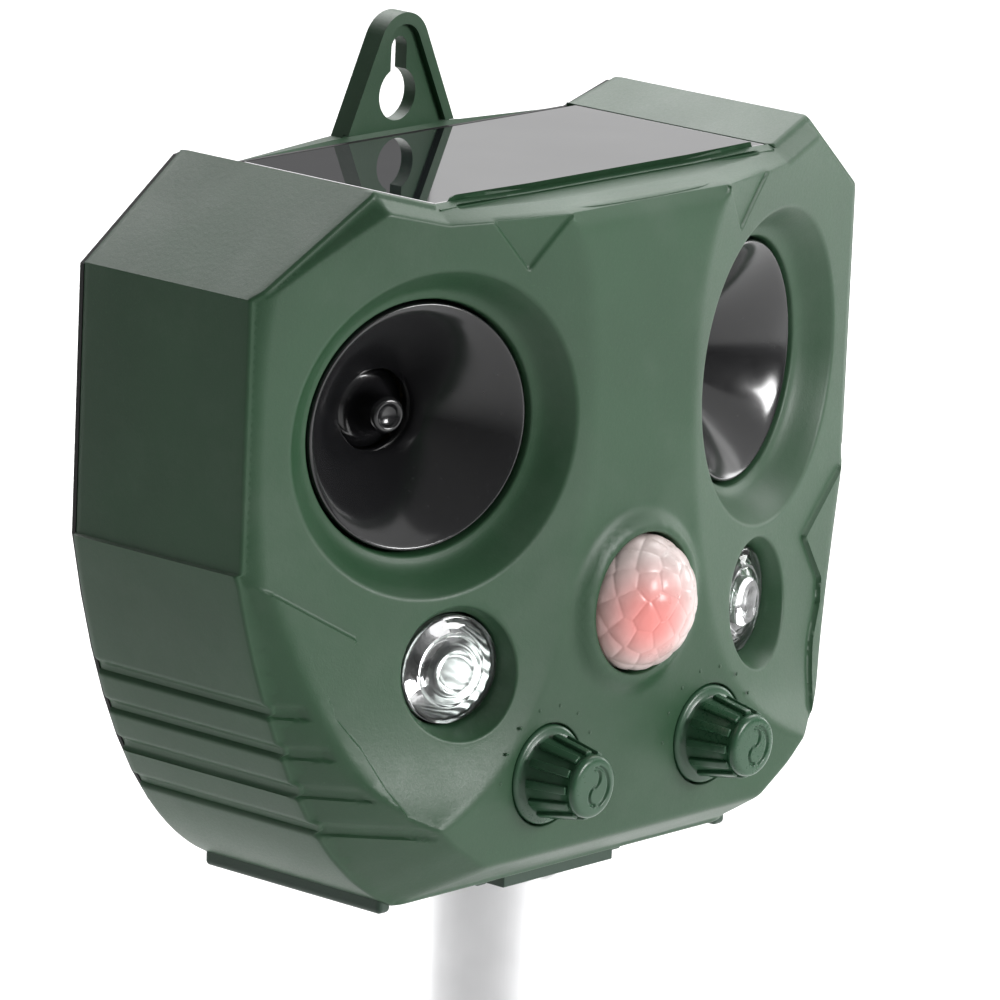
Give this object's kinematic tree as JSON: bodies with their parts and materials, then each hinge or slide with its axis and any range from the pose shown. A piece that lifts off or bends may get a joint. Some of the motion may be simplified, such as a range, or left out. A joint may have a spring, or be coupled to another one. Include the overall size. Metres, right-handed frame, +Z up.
{
  "type": "ultrasonic pest repeller",
  "caption": "Solar ultrasonic pest repeller head with horn speakers, flash lamps, motion sensor dome and dials, on a tube and ground spike.",
  "frame": {"origin": "on the stake tube's axis at soil level, on the underside of the ground spike's flange", "axes": "+Z up along the stake, the front with the horns faces -Y, +X to the right seen from the front"},
  "size_m": [0.153, 0.0706, 0.3287],
  "materials": {
    "housing_green": "satin",
    "knob_green": "gloss",
    "bracket_green": "satin",
    "horn_black": "gloss",
    "inner_black": "matte",
    "seal_rubber": "matte",
    "screw_steel": "satin",
    "panel_glass": "gloss",
    "solar_cell": "gloss",
    "piezo_brass": "satin",
    "lamp_mirror": "gloss",
    "lamp_clear": "gloss",
    "lamp_white": "gloss",
    "board_green": "satin",
    "sensor_milky": "satin",
    "light_red": "gloss",
    "cell_wrap": "satin",
    "tube_aluminium": "satin"
  },
  "bodies": {
    "stake": {"stake_bracket": "bracket_green", "stake_tube": "tube_aluminium", "ground_spike": "bracket_green"},
    "head": {"front_housing": "housing_green", "rear_cover": "housing_green", "housing_gasket": "seal_rubber", "housing_screws": "screw_steel", "solar_glass": "panel_glass", "solar_cells": "solar_cell", "solar_gasket": "seal_rubber", "left_horn": "horn_black", "right_horn": "horn_black", "left_horn_plug": "horn_black", "right_horn_plug": "horn_black", "left_driver_cap": "inner_black", "right_driver_cap": "inner_black", "left_piezo_disc": "piezo_brass", "right_piezo_disc": "piezo_brass", "horn_screws": "screw_steel", "left_lamp_reflector": "lamp_mirror", "right_lamp_reflector": "lamp_mirror", "left_lamp_lens": "lamp_clear", "right_lamp_lens": "lamp_clear", "left_lamp_led": "lamp_white", "right_lamp_led": "lamp_white", "left_lamp_board": "board_green", "right_lamp_board": "board_green", "sensor_lens": "sensor_milky", "sensor_element": "screw_steel", "sensor_light": "light_red", "main_board": "board_green", "board_screws": "screw_steel", "frequency_control": "inner_black", "sensitivity_control": "inner_black", "battery_cell": "cell_wrap", "battery_holder": "inner_black", "battery_contacts": "piezo_brass", "battery_door": "housing_green", "door_screws": "screw_steel", "charge_socket": "screw_steel"},
    "frequency_dial": {"frequency_knob": "knob_green", "frequency_shaft": "screw_steel"},
    "sensitivity_dial": {"sensitivity_knob": "knob_green", "sensitivity_shaft": "screw_steel"},
    "charge_flap": {"charge_cover": "seal_rubber"}
  },
  "joints": [
    {"name": "head_slide", "type": "slide", "parent": "stake", "child": "head", "axis": [0, 1, 0], "range_m": [0, 0.034]},
    {"name": "frequency_turn", "type": "hinge", "parent": "head", "child": "frequency_dial", "pos_m": [-0.0203, -0.0279, 0.1198], "axis": [0, -1, 0], "range_deg": [-150, 150]},
    {"name": "sensitivity_turn", "type": "hinge", "parent": "head", "child": "sensitivity_dial", "pos_m": [0.0203, -0.0279, 0.1198], "axis": [0, -1, 0], "range_deg": [-150, 150]},
    {"name": "charge_flap_hinge", "type": "hinge", "parent": "head", "child": "charge_flap", "pos_m": [0.0365, 0.03145, 0.1376], "axis": [0, 0, 1], "range_deg": [0, 95]}
  ]
}
